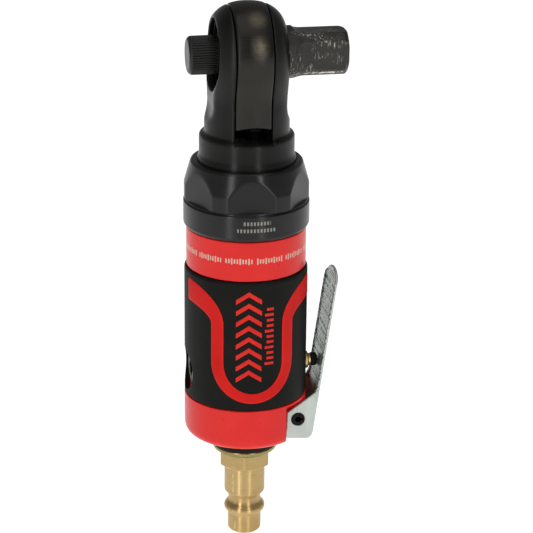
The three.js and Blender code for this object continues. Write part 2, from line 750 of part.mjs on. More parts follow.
function addHead() {
  const { blackSteel, driveSteel, hardSteel, springSteel } = MATERIALS;
  add('head_housing', headHousing(), blackSteel);
  add('ratchet_yoke', yoke(), blackSteel);
  add('drive_spindle', driveSpindle(), driveSteel);
  const rocker = add('pawl', pawl(), hardSteel);
  rocker.position.z = PAWL_PIVOT;
  rocker.rotation.x = PAWL_TILT;
  add('pawl_pin', alongX(rod(0.95, [-5.1, 4.8], COARSE)), hardSteel).position.z = PAWL_PIVOT;
  add('reverse_knob', reverseKnob(), driveSteel);
  const detent = new THREE.Group();
  detent.rotation.x = -DETENT_LEAN;
  airRatchet.add(detent);
  add('detent_pin', detentPin(), hardSteel, detent);
  add('detent_spring', coil(0.6, 0.16, 2, 4), springSteel, detent).position.z = -1.5;
  add('spindle_cover_plate', alongX(pipe(10.5, 6, [-7.6, -6.95], LARGE)), driveSteel);
  add('head_retaining_ring', retainingRing(), springSteel);
  add('socket_ball', socketBall(), hardSteel).position.set(BALL_X, 5.35, 0);
  add('socket_ball_spring', alongY(coil(1.3, 0.22, 2.5, 4)), springSteel).position.set(BALL_X, 0.6, 0);
}

function addCrank() {
  const { hardSteel, bronze, driveSteel } = MATERIALS;
  add('clamp_nut', clampNut(), MATERIALS.nutBlack);
  add('crankshaft', crankshaft(), hardSteel);
  add('drive_bushing', pipe(4.4, 2.75, [-23, -15.5], SMALL), hardSteel).position.x = CRANK_THROW;
  add('crank_bearing', pipe(8.4, 6.1, [-41.5, -29]), bronze);
  const gear = planetGear();
  planetAngles().forEach((angle, i) => {
    const [x, y] = polar(PLANET_ORBIT, angle);
    const planet = add(`planet_gear_${i + 1}`, gear.clone(), hardSteel);
    planet.position.set(x, y, 0);
    planet.rotation.z = planetPhase(angle);
    add(`planet_pin_${i + 1}`, rod(1.6, [-56, -43.5], COARSE), hardSteel).position.set(x, y, 0);
  });
  add('ring_gear', ringGear(), driveSteel);
}

function addMotor() {
  const { hardSteel, driveSteel, composite, aluminium } = MATERIALS;
  add('front_end_plate', frontEndPlate(), driveSteel);
  add('front_rotor_bearing', pipe(8, 4.4, [-60.9, -58]), hardSteel);
  add('cylinder_liner', cylinderLiner(), aluminium);
  add('rotor', rotor(), hardSteel);
  bladeAngles().forEach((angle, i) => {
    add(`rotor_blade_${i + 1}`, rotorBlade(), composite).rotation.z = angle;
  });
  add('rear_end_plate', rearEndPlate(), driveSteel);
  add('rear_rotor_bearing', pipe(5.2, 3.1, [-88.9, -86.1], SMALL), hardSteel);
  add('cylinder_dowel', rod(1, [-87.6, -59.2], COARSE), hardSteel).position.x = DOWEL_X;
}

function addBody() {
  const { redPaint, rubber, zincSteel, driveSteel, brass } = MATERIALS;
  add('motor_housing', motorHousing(), redPaint);
  add('grip_sleeve', gripSleeve(), rubber);
  const lever = add('trigger_lever', triggerLever(), zincSteel);
  lever.position.set(...LEVER_PIVOT);
  lever.rotation.y = LEVER_TILT;
  add('lever_pin', leverPin(), driveSteel).position.set(...LEVER_PIVOT);
  const valve = new THREE.Group();
  valve.position.z = VALVE_Z;
  airRatchet.add(valve);
  add('valve_bushing', valveBushing(), brass, valve);
  add('valve_stem', valveStem(), brass, valve);
  add('stem_cap', stemCap(), MATERIALS.blackPlastic, valve);
  add('stem_o_ring', alongX(torus(2.05, 0.52, 12.4)), rubber, valve);
  add('valve_seat', valveSeat(), rubber, valve);
  add('valve_poppet', valvePoppet(), brass, valve);
  add('valve_spring', valveSpring(), MATERIALS.springSteel, valve).position.x = -11.4;
  add('valve_cap', valveCap(), brass, valve);
}

function addInlet() {
  const { brass, oliveBrass, blackPlastic, felt } = MATERIALS;
  add('exhaust_deflector', exhaustDeflector(), blackPlastic);
  add('exhaust_silencer', pipe(9.5, 7.1, [-124, -120.9]), felt);
  const washer = [
    [6.7, -127.3], [9.1, -127.3], [10.1, -126.5], [10.1, -125.6], [9.7, -125.2], [6.7, -125.2],
  ];
  add('deflector_washer', turned(washer), oliveBrass);
  add('inlet_plug', inletPlug(), brass);
  add('inlet_screen', inletScreen(), MATERIALS.bronze);
}

addHead();
addCrank();
addMotor();
addBody();
addInlet();

export default airRatchet;
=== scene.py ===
"""The looks of a pneumatic ratchet wrench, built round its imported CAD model.

Pieces are drawn in millimetres in the tool's frame: Z is the axis of the motor, X the axis of the drive
spindle, and the two cross at its origin. in_row() turns those points into metres in the row frame.
"""

import json
import math

import bmesh
import bpy
import numpy as np
from mathutils import Matrix, Vector


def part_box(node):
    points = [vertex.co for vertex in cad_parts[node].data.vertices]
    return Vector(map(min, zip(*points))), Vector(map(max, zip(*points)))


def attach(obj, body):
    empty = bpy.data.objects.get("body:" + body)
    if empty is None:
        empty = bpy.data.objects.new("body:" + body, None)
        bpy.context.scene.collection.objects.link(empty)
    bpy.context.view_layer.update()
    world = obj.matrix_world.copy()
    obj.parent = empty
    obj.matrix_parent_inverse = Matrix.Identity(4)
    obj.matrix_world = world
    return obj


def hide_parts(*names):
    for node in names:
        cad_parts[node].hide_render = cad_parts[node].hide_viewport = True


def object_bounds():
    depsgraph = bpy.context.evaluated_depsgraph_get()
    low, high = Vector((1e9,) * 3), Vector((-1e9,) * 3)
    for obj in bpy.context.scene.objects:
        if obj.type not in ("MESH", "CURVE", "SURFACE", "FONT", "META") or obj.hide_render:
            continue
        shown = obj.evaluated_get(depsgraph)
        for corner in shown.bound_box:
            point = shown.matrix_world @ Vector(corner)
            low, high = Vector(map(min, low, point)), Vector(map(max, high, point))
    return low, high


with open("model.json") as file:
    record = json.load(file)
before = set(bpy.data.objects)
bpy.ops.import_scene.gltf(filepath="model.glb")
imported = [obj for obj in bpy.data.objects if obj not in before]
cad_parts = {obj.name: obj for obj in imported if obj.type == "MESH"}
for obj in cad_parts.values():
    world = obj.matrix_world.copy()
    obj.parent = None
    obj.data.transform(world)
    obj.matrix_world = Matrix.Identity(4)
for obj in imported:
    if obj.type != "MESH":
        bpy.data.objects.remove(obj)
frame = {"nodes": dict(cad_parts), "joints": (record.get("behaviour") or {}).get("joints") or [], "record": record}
CAD_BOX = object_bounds()

# ---- Driving values, in millimetres in the tool's frame ----

MM = 0.001
JOINTS = {joint["name"]: joint for joint in frame["joints"]}
AXIS = JOINTS["rotor_turn"]["pos_m"][0]
LEVER_PIVOT = [(JOINTS["lever_pull"]["pos_m"][0] - AXIS) / MM, 0, JOINTS["lever_pull"]["pos_m"][2] / MM]
FLOOR = CAD_BOX[0].z / MM


def span(node):
    """A CAD node's lowest and highest corners, in the tool's frame."""
    return [(np.array(corner) - [AXIS, 0, 0]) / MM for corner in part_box(node)]


DRIVE_END = span("drive_spindle")[1][0]
KNOB_END = span("reverse_knob")[0][0]
EYE = 15.6
CHEEK = 11.15
CHEEK_RADIUS = 7.2
DOME_POWER = 2.2
DOME_SLOPE = 9
EYE_BLEND = 3.2
NECK = 12.8
COLLAR, COLLAR_TOP = 14.35, -23.8
SLOT = 5.65
YOKE = span("ratchet_yoke")[1][0]
SLOT_FLOOR = -24.5
TEETH, TOOTH_COUNT, TOOTH_DEPTH = 10.15, 36, 0.5
SQUARE = 6.35
SQUARE_CHAMFER = 7.57
SQUARE_ROUND, SQUARE_TIP = 7.85, 6.65
SQUARE_START, SQUARE_RUN_OUT, SQUARE_RISE = 16.2, 3, 1.7
BALL_PLACE, BALL_RADIUS, BALL_HEIGHT = 24, 1.8, 5.35
PAWL_PIN = 5.8
KNURL_COUNT, KNURL_DEPTH, KNURL_FOOT = 46, 0.5, -9.6
(_, _, NUT_LOW), (_, _, NUT_TOP) = span("clamp_nut")
NUT_FLAT = 17.5
NUT_GROOVE = -44.15
NUT_TURN = math.radians(-94.5)
HEX_EDGE = 0.16
BODY = 18.9
BODY_LOW = span("motor_housing")[0][2]
GRIP_LOW, GRIP_TOP = -107.2, -65.2
VALVE = -99
PLUG_FLAT = 7.5
PLUG_TURN = math.radians(-11)
LEVER_TILT = math.radians(8)


def in_row(points):
    """Points of the tool's frame, as metres in the row frame."""
    return np.asarray(points, float) * MM + [AXIS, 0, 0]


# ---- Meshes ----


def piece(name, points, faces):
    """A smooth mesh object with its faces pointing out."""
    mesh = bpy.data.meshes.new(name)
    mesh.from_pydata(in_row(points).tolist(), [], [list(map(int, face)) for face in faces])
    work = bmesh.new()
    work.from_mesh(mesh)
    bmesh.ops.recalc_face_normals(work, faces=work.faces)
    work.to_mesh(mesh)
    work.free()
    mesh.shade_smooth()
    made = bpy.data.objects.new(name, mesh)
    bpy.context.scene.collection.objects.link(made)
    return made


def eased(corners, ease):
    """A turned profile with small curves for its corners."""
    corners = [np.array(corner, float) for corner in corners]
    closed = corners[0][0] > 0
    count = len(corners)
    points = []
    for i, corner in enumerate(corners):
        if not closed and i in (0, count - 1):
            points.append(corner)
            continue
        before, after = corners[i - 1] - corner, corners[(i + 1) % count] - corner
        reach = min(ease, 0.42 * np.linalg.norm(before), 0.42 * np.linalg.norm(after))
        start = corner + before / np.linalg.norm(before) * reach
        end = corner + after / np.linalg.norm(after) * reach
        for t in (0, 0.25, 0.5, 0.75, 1):
            points.append((1 - t) ** 2 * start + 2 * t * (1 - t) * corner + t * t * end)
    return points, closed


def divided(points, closed, step):
    """The same profile with no stretch longer than a step."""
    ends = points[1:] + ([points[0]] if closed else [])
    fine = []
    for a, b in zip(points, ends):
        parts = max(1, math.ceil(np.linalg.norm(b - a) / step))
        fine += [a + (b - a) * i / parts for i in range(parts)]
    return fine if closed else fine + [points[-1]]


TO_AXIS = {
    "x": lambda r, turn, h: (h, r * np.cos(turn), r * np.sin(turn)),
    "y": lambda r, turn, h: (r * np.sin(turn), h, r * np.cos(turn)),
    "z": lambda r, turn, h: (r * np.cos(turn), r * np.sin(turn), h),
}


def turned(name, corners, axis="z", at=(0, 0, 0), ease=0.25, segments=160, step=4, section=None):
    """A lathe-turned piece. section(turn, r, h) may change the radius round the axis."""
    profile, closed = eased(corners, ease)
    profile = divided(profile, closed, step)
    turn = np.arange(segments) * 2 * math.pi / segments
    points, rings = [], []
    for r, h in profile:
        if r < 1e-6:
            rings.append([len(points)] * segments)
            points.append(TO_AXIS[axis](0, 0, h))
            continue
        rings.append(list(range(len(points), len(points) + segments)))
        radius = section(turn, r, h) if section else np.full(segments, r)
        points += list(zip(*TO_AXIS[axis](radius, turn, np.full(segments, h))))
    faces = []
    pairs = list(zip(rings, rings[1:] + ([rings[0]] if closed else [])))
    for low, high in pairs if closed else pairs[:len(rings) - 1]:
        for i in range(segments):
            j = (i + 1) % segments
            face = list(dict.fromkeys([low[i], low[j], high[j], high[i]]))
            if len(face) > 2:
                faces.append(face)
    return piece(name, np.array(points) + np.array(at), faces)


def rod(name, radius, low, high, axis="z", at=(0, 0, 0), segments=64):
    """A plain cylinder that cuts other pieces."""
    corners = [(0, low), (radius, low), (radius, high), (0, high)]
    return turned(name, corners, axis, at, 0.01, segments)


def turned_about_origin(degrees, axis):
    """The matrix that turns a tool about an axis through the tool frame's origin."""
    turn = Matrix.Rotation(math.radians(degrees), 4, axis)
    return Matrix.Translation((AXIS, 0, 0)) @ turn @ Matrix.Translation((-AXIS, 0, 0))


def block(name, x, y, z):
    """A plain box that cuts other pieces."""
    corners = [(a, b, c) for a in x for b in y for c in z]
    faces = [(0, 1, 3, 2), (4, 6, 7, 5), (0, 4, 5, 1), (2, 3, 7, 6), (0, 2, 6, 4), (1, 5, 7, 3)]
    return piece(name, corners, faces)


def cut(base, *tools, bevel=0.0):
    """Takes the tools' shapes out of a piece, and eases the edges that this leaves."""
    for tool in tools:
        difference = base.modifiers.new("cut", "BOOLEAN")
        difference.operation, difference.object, difference.solver = "DIFFERENCE", tool, "EXACT"
    if bevel:
        soften = base.modifiers.new("soften", "BEVEL")
        soften.width, soften.segments, soften.angle_limit = bevel * MM, 2, math.radians(50)
        soften.use_clamp_overlap = True
    apply_modifiers(base)
    for tool in tools:
        bpy.data.objects.remove(tool)
    base.data.shade_smooth()
    return base


def apply_modifiers(made):
    """Writes the modifiers' result into the mesh itself."""
    seen = bpy.context.evaluated_depsgraph_get()
    seen.update()
    final = bpy.data.meshes.new_from_object(made.evaluated_get(seen))
    made.modifiers.clear()
    before = made.data
    name = before.name
    made.data = final
    bpy.data.meshes.remove(before)
    final.name = name


def even_shading(made):
    """Large faces keep their own shading, so only the eased corners look round."""
    weighted = made.modifiers.new("even_shading", "WEIGHTED_NORMAL")
    weighted.weight = 60
    weighted.keep_sharp = True
    apply_modifiers(made)
    return made


# ---- Fields: negative inside, about a millimetre for each millimetre outside ----


def soft_min(a, b, ease):
    """The nearer of two fields, with a round inner corner where they meet."""
    blend = np.maximum(ease - np.abs(a - b), 0) / ease
    return np.minimum(a, b) - blend * blend * ease / 4


def soft_max(a, b, ease):
    """The farther of two fields, with a round outer corner where they meet."""
    return -soft_min(-a, -b, ease)


def soft_all(ease, first, *others):
    """The space that all of the fields share."""
    for other in others:
        first = soft_max(first, other, ease)
    return first


def drum(about, radius, along, low, high, ease):
    """A cylinder between two places along its axis, with round edges."""
    return soft_all(ease, about - radius, along - high, low - along)


def inside_outline(u, v, corners):
    """Distance to a closed outline of straight lines, negative inside it."""
    nearest = np.full(u.shape, 1e9)
    inside = np.zeros(u.shape, bool)
    for (ax, ay), (bx, by) in zip(corners, corners[1:] + corners[:1]):
        ex, ey = bx - ax, by - ay
        t = np.clip(((u - ax) * ex + (v - ay) * ey) / (ex * ex + ey * ey), 0, 1)
        nearest = np.minimum(nearest, np.hypot(u - ax - t * ex, v - ay - t * ey))
        if ay != by:
            crosses = ((ay > v) != (by > v)) & (u < ex * (v - ay) / ey + ax)
            inside ^= crosses
    return np.where(inside, -nearest, nearest)


def inside_box(u, v, half_u, half_v, radius):
    """Distance to a rectangle with round corners about the origin."""
    du, dv = np.abs(u) - half_u + radius, np.abs(v) - half_v + radius
    return np.hypot(np.maximum(du, 0), np.maximum(dv, 0)) + np.minimum(np.maximum(du, dv), 0) - radius


def skin(name, field, low, high, step, move=None):
    """A fine mesh of the surface where a field is zero, with one point in each cell that it crosses."""
    axes = [np.arange(a - 2 * step, b + 3 * step, step) for a, b in zip(low, high)]
    shape = tuple(len(axis) for axis in axes)
    grid = np.stack(np.meshgrid(*axes, indexing="ij"), -1).reshape(-1, 3)
    value = np.concatenate([field(part) for part in np.array_split(grid, 16)]).reshape(shape)
    rings, places = [], []
    for axis in range(3):
        u, v = (axis + 1) % 3, (axis + 2) % 3
        before = value.take(range(shape[axis] - 1), axis)
        after = value.take(range(1, shape[axis]), axis)
        edge = np.argwhere((before < 0) != (after < 0))
        a, b = before[tuple(edge.T)], after[tuple(edge.T)]
        place = edge.astype(float)
        place[:, axis] += a / (a - b)
        cells = [edge.copy() for _ in range(4)]
        cells[1][:, u] -= 1
        cells[2][:, u] -= 1
        cells[2][:, v] -= 1
        cells[3][:, v] -= 1
        ring = np.stack([np.ravel_multi_index(tuple(cell.T), shape) for cell in cells], 1)
        ring[a >= 0] = ring[a >= 0][:, ::-1]
        rings.append(ring)
        places.append(place)
    ring, place = np.concatenate(rings), np.concatenate(places)
    cell, faces = np.unique(ring, return_inverse=True)
    faces = faces.reshape(-1, 4)
    share = np.bincount(faces.ravel())
    points = np.stack([
        np.bincount(faces.ravel(), np.repeat(place[:, k], 4)) / share for k in range(3)
    ], 1) * step + [axis[0] for axis in axes]
    reach = 0.02
    for _ in range(4):
        slope = np.stack([
            (field(points + side) - field(points - side)) / (2 * reach) for side in reach * np.eye(3)
        ], 1)
        fall = field(points)[:, None] * slope / np.maximum((slope ** 2).sum(1, keepdims=True), 0.05)
        points -= np.clip(fall, -0.4 * step, 0.4 * step)
    return piece(name, points if move is None else move(points), faces)


# ---- Ratchet head ----


def dome(x, about_x):
    """The eye of the head: a flat cheek on each side and a round crown between them."""
    rise = np.maximum(about_x - CHEEK_RADIUS, 0) / (EYE - CHEEK_RADIUS)
    across = np.abs(x) / CHEEK
    return ((rise ** DOME_POWER + across ** DOME_POWER) ** (1 / DOME_POWER) - 1) * DOME_SLOPE


def head_field(p):
    """The forging: eye, neck, collar and the flange under the nut, with the bores inside."""
    x, y, z = p.T
    about_x, about_z, side = np.hypot(y, z), np.hypot(x, y), np.abs(x)
    run_out, foot = 6.8, -15.2
    flats = soft_min(
        np.maximum(CHEEK - side, foot - z), np.hypot(side - CHEEK - run_out, z - foot) - run_out, 0.3)
    neck = drum(about_z, NECK, z, -30, 0, 0.9)
    head = soft_max(soft_min(dome(x, about_x), neck, EYE_BLEND), -flats, 0.6)
    flare = COLLAR + 0.45 * np.clip((-29.6 - z) / 1.6, 0, 1) ** 2
    collar = drum(about_z, flare, z, -37, COLLAR_TOP, 1.3)
    head = soft_min(head, collar, 0.9)
    flange = drum(about_z, 16.1, z, -44.8, -36, 0.5)
    skirt = drum(about_z, 15.5, z, -47.5, -40, 0.5)
    head = np.minimum(np.minimum(head, flange), skirt)
    slot = np.maximum(side - SLOT, SLOT_FLOOR - z)
    recess = soft_max(about_x - 10.8, x + 6.9, 0.3)
    groove = np.maximum(about_x - 11.4, np.abs(x + 8.2) - 0.45)
    bore = np.minimum(np.maximum(about_x - 9, x), np.maximum(about_x - 8, -x))
    crank = 1e9
    for radius, top in ((8, -26), (13.4, -42), (6.9, -14.6)):
        crank = np.minimum(crank, np.maximum(about_z - radius, z - top))
    hollow = np.minimum(np.minimum(recess, groove), np.minimum(bore, crank))
    return soft_max(soft_max(head, -slot, 0.55), -hollow, 0.6)


def yoke_field(p):
    """The yoke: a slice of the head's own shape, with inner teeth and a fork below."""
    x, y, z = p.T
    about_x = np.hypot(y, z)
    tail = soft_all(0.6, np.hypot(x, y) - NECK + 0.1, z, -23 - z)
    blank = soft_min(dome(x, about_x), tail, EYE_BLEND)
    arch = np.hypot(x, z + 33.6) - 14
    fork = np.maximum(np.abs(y) - 6.8, z + 13.5)
    teeth = about_x - TEETH - TOOTH_DEPTH * np.cos(TOOTH_COUNT * np.arctan2(z, y))
    plate = soft_max(blank, np.abs(x) - YOKE, 0.6)
    return soft_max(soft_max(plate, -arch, 0.7), -np.minimum(fork, teeth), 0.35)


def spindle_field(p):
    """The flange that holds pawl and knob, and the square with its round tip and run-outs."""
    x, y, z = p.T
    about_x = np.hypot(y, z)
    flange = soft_all(0.4, about_x - 8.8, x - 5.5, -6.7 - x)
    nose = soft_max(about_x - SQUARE_ROUND, (about_x - SQUARE_TIP + x - DRIVE_END) / math.sqrt(2), 0.4)
    round_part = soft_all(0.3, nose, x - DRIVE_END, -x)
    # each flat of the square starts in a round run-out of the cutter
    start = np.clip((SQUARE_START - x) / SQUARE_RUN_OUT, 0, 1)
    rise = SQUARE_RISE * (1 - np.sqrt(1 - start ** 2))
    square = soft_max(np.abs(y), np.abs(z), 0.25) - SQUARE - rise
    corner = (np.abs(y) + np.abs(z)) / math.sqrt(2) - SQUARE_CHAMFER - rise
    drive = soft_max(round_part, soft_max(square, corner, 0.3), 0.35)
    whole = np.minimum(flange, drive)
    pocket = np.maximum(np.abs(x) - 3.1, 1 - z)
    knob = soft_all(0.2, about_x - 2.8, x - 3.2)
    knob_recess = np.maximum(about_x - 7, x + 5.2)
    pin = np.maximum(np.hypot(y, z - PAWL_PIN) - 1.05, x - 5)
    ball = np.maximum(np.hypot(x - BALL_PLACE, z) - BALL_RADIUS - 0.15, 0.2 - y)
    hollow = np.minimum(np.minimum(pocket, knob), np.minimum(knob_recess, np.minimum(pin, ball)))
    return soft_max(whole, -hollow, 0.3)


def knurl(turn, r, h):
    """Straight ridges round the knob's grip."""
    if not (KNOB_END + 0.9 < h < KNURL_FOOT and r > 5.2):
        return np.full(turn.shape, min(r, 5.55) if r > 5.5 and h < -9 else r)
    ridge = (0.5 + 0.5 * np.cos(KNURL_COUNT * turn)) ** 0.5
    return r - KNURL_DEPTH * (1 - ridge)


def make_head():
    """The head with its yoke, spindle, knob, cover and ball."""
    head = skin("head_forging", head_field, (-16.2, -16.2, -47.6), (16.2, 16.2, 15.7), 0.36)
    finish(head, "tool_body", "black_steel", "head_housing")
    yoke = skin("swinging_yoke", yoke_field, (-5.5, -15.7, -21), (5.5, 15.7, 15.7), 0.3)
    finish(yoke, "yoke", "black_steel", "ratchet_yoke", look="yoke_steel")
    spindle = skin("square_drive_spindle", spindle_field, (-6.8, -8.9, -8.9), (DRIVE_END, 8.9, 8.9), 0.27)
    finish(spindle, "spindle", "drive_steel", "drive_spindle")
    knob = turned("knurled_knob", [
        (0, KNOB_END), (4.9, KNOB_END), (5.75, KNOB_END + 0.8), (5.8, -9.5), (5.5, -9.2), (5.5, -6.5),
        (6.8, -6.5), (6.8, -5.3), (2.7, -5.3), (2.7, 3), (0, 3),
    ], "x", ease=0.3, segments=12 * KNURL_COUNT, step=1.2, section=knurl)
    hole = rod("detent_hole", 1, -1.9, 4, segments=24)
    hole.matrix_world = turned_about_origin(-30, "X")
    finish(even_shading(cut(knob, hole)), "knob", "drive_steel", "reverse_knob", look="knob_steel")
    cover = turned("cover_disc", [(6, -7.6), (10.5, -7.6), (10.5, -6.95), (6, -6.95)], "x", ease=0.2)
    # the cover disc sits in the cheek's recess: its darker, duller look is painted shade
    finish(even_shading(cover), "tool_body", "drive_steel", "spindle_cover_plate", look="painted_shade_steel")
    half_turn = np.linspace(0, math.pi, 25)
    arc = [(BALL_RADIUS * math.sin(t), BALL_HEIGHT - BALL_RADIUS * math.cos(t)) for t in half_turn]
    ball = turned("retaining_ball", arc, "y", at=(BALL_PLACE, 0, 0), segments=48, ease=0.01)
    finish(ball, "ball", "hard_steel", "socket_ball")


# ---- Clamp nut ----


def hexagon(turn, r, flat, first_flat):
    """The radius r, cut down where it passes the six flats."""
    nearest = (turn - first_flat + math.pi / 6) % (math.pi / 3) - math.pi / 6
    return soft_min(np.full(turn.shape, r), flat / np.cos(nearest), HEX_EDGE)


def nut_section(turn, r, h):
    """The six flats of the nut, above its groove."""
    if h < NUT_GROOVE or r < 15.9:
        return np.full(turn.shape, r)
    return hexagon(turn, r, NUT_FLAT, NUT_TURN)


def make_nut():
    """The clamp nut, with six flats above a groove and a round band."""
    nut = turned("hex_clamp_nut", [
        (14.85, NUT_TOP), (14.85, -35.7), (16.4, -35.7), (16.4, -44.9), (17.2, -44.9), (17.2, NUT_LOW),
        (18.5, NUT_LOW), (19.1, -51.7), (19.1, -44.75), (18.6, -44.55), (18.45, -44.2), (18.9, -43.95),
        (18.9, -39.3), (17.0, -32.7), (16.5, NUT_TOP),
    ], ease=0.3, segments=540, step=0.34, section=nut_section)
    finish(even_shading(nut), "tool_body", "nut_black", "clamp_nut")


# ---- Body ----


def make_body():
    """The red housing with its bores and ears, and the rubber sleeve on it."""
    low = BODY_LOW
    valve_place = (0, 0, VALVE)
    housing = turned("red_housing", [
        (0, low), (15.8, low), (17.2, low + 0.3), (18.2, low + 1), (18.75, low + 2), (BODY, low + 3.4),
        (BODY, GRIP_LOW), (17.2, GRIP_LOW), (17.2, GRIP_TOP), (18.25, GRIP_TOP), (18.25, -52.9),
        (17, -52.9), (17, -45), (15.7, -45), (15.7, -89.2), (0, -89.2),
    ], ease=0.35, segments=256, step=3)
    bores = [
        rod("valve_bore", 5, -25, 25, "x", valve_place),
        rod("spot_face", 6.4, -25, -15.5, "x", valve_place),
        rod("inlet_bore", 6.7, -125, -109),
        rod("feed", 3, -110, VALVE, at=(-4, 0, 0), segments=32),
        rod("pin_bore", 2.05, -8, 8, "y", LEVER_PIVOT, 32),
    ]
    ears = [block("ear_pocket", (10.1, 24), y, (-125, GRIP_LOW - 1)) for y in ((5.4, 24), (-24, -5.4))]
    cut(housing, *bores, *ears, bevel=0.3)
    finish(even_shading(housing), "tool_body", "red_paint", "motor_housing")
    sleeve = turned("rubber_grip", [
        (17.35, GRIP_LOW + 0.2), (18.6, GRIP_LOW + 0.2), (BODY - 0.05, GRIP_LOW + 0.7),
        (BODY - 0.05, GRIP_TOP - 1.1), (18.5, GRIP_TOP - 0.25), (17.35, GRIP_TOP - 0.25),
    ], ease=0.3, segments=256, step=2)
    holes = [
        rod("stem_hole", 4.8, 10, 25, "x", valve_place),
        rod("cap_hole", 6.8, -25, -10, "x", valve_place),
    ]
    cut(sleeve, *holes, bevel=0.35)
    finish(even_shading(sleeve), "tool_body", "grip_rubber", "grip_sleeve")


# ---- Raised bands and ribs on the grip, drawn on its unrolled surface ----

GRIP_FRONT = math.radians(-92.7)


def ribbon(edges, height=0.22, depth=0.4):
    """A raised strip between two edges of the same number of (along the girth, z) points."""
    across = np.array([0, 0.0, 0.07, 0.25, 0.5, 0.75, 0.93, 1.0, 1.0])
    rise = np.array([-depth, 0, height, height, height, height, height, 0, -depth])
    low, high = (np.array(edge, float) for edge in edges)
    points = []
    for a, b in zip(low, high):
        flat = a + (b - a) * across[:, None]
        turn, radius = flat[:, 0] / BODY + GRIP_FRONT, BODY - 0.05 + rise
        points += list(zip(radius * np.cos(turn), radius * np.sin(turn), flat[:, 1]))
    width, count = len(across), len(low)
    faces = [
        (i * width + j, i * width + (j + 1) % width, (i + 1) * width + (j + 1) % width, (i + 1) * width + j)
        for i in range(count - 1) for j in range(width)
    ]
    faces += [tuple(range(width)), tuple(range((count - 1) * width, count * width))]
    return np.array(points), faces


def raised(name, strips, look):
    """One piece of several raised strips."""
    points, faces = [], []
    for strip_points, strip_faces in strips:
        start = sum(len(part) for part in points)
        points.append(strip_points)
        faces += [tuple(start + corner for corner in face) for face in strip_faces]
    made = piece(name, np.concatenate(points), faces)
    finish(even_shading(made), "tool_body", "grip_rubber", look=look)


def band_edge(leg, foot, top, reach):
    """Half of one edge of the U-shaped band: the flare at the side, the leg and the round foot."""
    leg_top, leg_low = -79.5, -91.5
    quarter = np.linspace(0, math.pi / 2, 20)
    flare = [(reach - (reach - leg) * math.sin(t), leg_top + (top - leg_top) * math.cos(t)) for t in quarter]
    straight = [(leg, z) for z in np.linspace(leg_top, leg_low, 8)[1:]]
    bend = [(leg * math.cos(t), leg_low + (foot - leg_low) * math.sin(t)) for t in quarter[1:]]
    return flare + straight + bend


def mirrored(half):
    """A whole edge of the band from its right half."""
    return half + [(-s, z) for s, z in reversed(half[:-1])]


def make_grip_marks():
    """The U-shaped band, and the chevrons and bars that stand where a maker would print a name."""
    band_end = 24.2
    outer = mirrored(band_edge(13.5, -104.5, -74.6, band_end))
    inner = mirrored(band_edge(9.3, -101.3, -67.6, band_end))
    raised("grip_band", [ribbon((outer, inner))], "band_rubber")
    lowest, pitch, count = -94.9, 3.6, 8
    middle, half, rise, thick = -1.5, 3.9, 2.6, 1.5
    chevrons = []
    for z in lowest + pitch * np.arange(count):
        line = [(middle + s, z - rise * abs(s) / half) for s in np.linspace(-half, half, 17)]
        chevrons.append(ribbon((line, [(s, height + thick) for s, height in line]), 0.15))
    raised("grip_chevrons", chevrons, "print_red")
    ticks = []
    short, long, tick_end, tick_thick = 4.0, 3.4, 6.2, 0.85
    for i, z in enumerate(np.arange(-92, -73, 1.75)):
        line = [(s, z) for s in np.linspace(short if i % 3 else long, tick_end, 7)]
        ticks.append(ribbon((line, [(s, height + tick_thick) for s, height in line]), 0.12))
    raised("grip_ticks", ticks, "print_red")


# ---- Throttle lever ----

LEVER_HALF, LEVER_BACK, LEVER_LENGTH, LEVER_SHEET = 7.6, 5.9, 48.6, 0.9
LEVER_LIP = LEVER_BACK - 1.3
LEVER_CORNER = 6.9
LEVER_HOLE = 2.1
LEVER_TORN = 9


def lever_field(p):
    """The folded sheet about its pivot: X away from the tool, Z along the lever."""
    x, y, z = p.T
    far = 20
    outer = inside_box(x - LEVER_BACK + far, y, far, LEVER_HALF, 2.3)
    inner = inside_box(x - LEVER_BACK + LEVER_SHEET + far, y, far, LEVER_HALF - LEVER_SHEET, 1.35)
    past_end = LEVER_LENGTH + 1
    side = inside_outline(x, z, [
        (-2.8, -6.7), (4, -6.3), (5.2, -5.6), (6.2, -4.2), (6.2, past_end), (LEVER_LIP, past_end),
        (LEVER_LIP, 12), (3.8, 9), (-3.9, 2),
    ])
    front = inside_box(y, z - LEVER_LENGTH / 2 + 10, LEVER_HALF, LEVER_LENGTH / 2 + 10, LEVER_CORNER)
    hole = np.hypot(x, z) - LEVER_HOLE
    return soft_max(soft_all(0.35, outer, -inner, side, front), -hole, 0.25)


def make_lever():
    """The pressed lever at rest. The sheet's sheared edge along the grip has a look of its own."""
    cos, sin = math.cos(LEVER_TILT), math.sin(LEVER_TILT)

    def tilted(points):
        x, y, z = points.T
        return np.stack([x * cos + z * sin, y, z * cos - x * sin], 1) + LEVER_PIVOT

    low, high = (-4.1, -LEVER_HALF, -6.9), (LEVER_BACK, LEVER_HALF, LEVER_LENGTH)
    lever = skin("throttle_lever", lever_field, low, high, 0.27, tilted)
    finish(lever, "lever", "zinc_steel", "trigger_lever")
    lever.data.materials.append(LOOKS["torn_edge"])
    outward, along = Vector((cos, 0, -sin)), Vector((sin, 0, cos))
    pivot = Vector(in_row(LEVER_PIVOT))
    for face in lever.data.polygons:
        from_pivot = (face.center - pivot) / MM
        if from_pivot.dot(outward) < LEVER_LIP + 0.4 and from_pivot.dot(along) > LEVER_TORN:
            face.material_index = 1


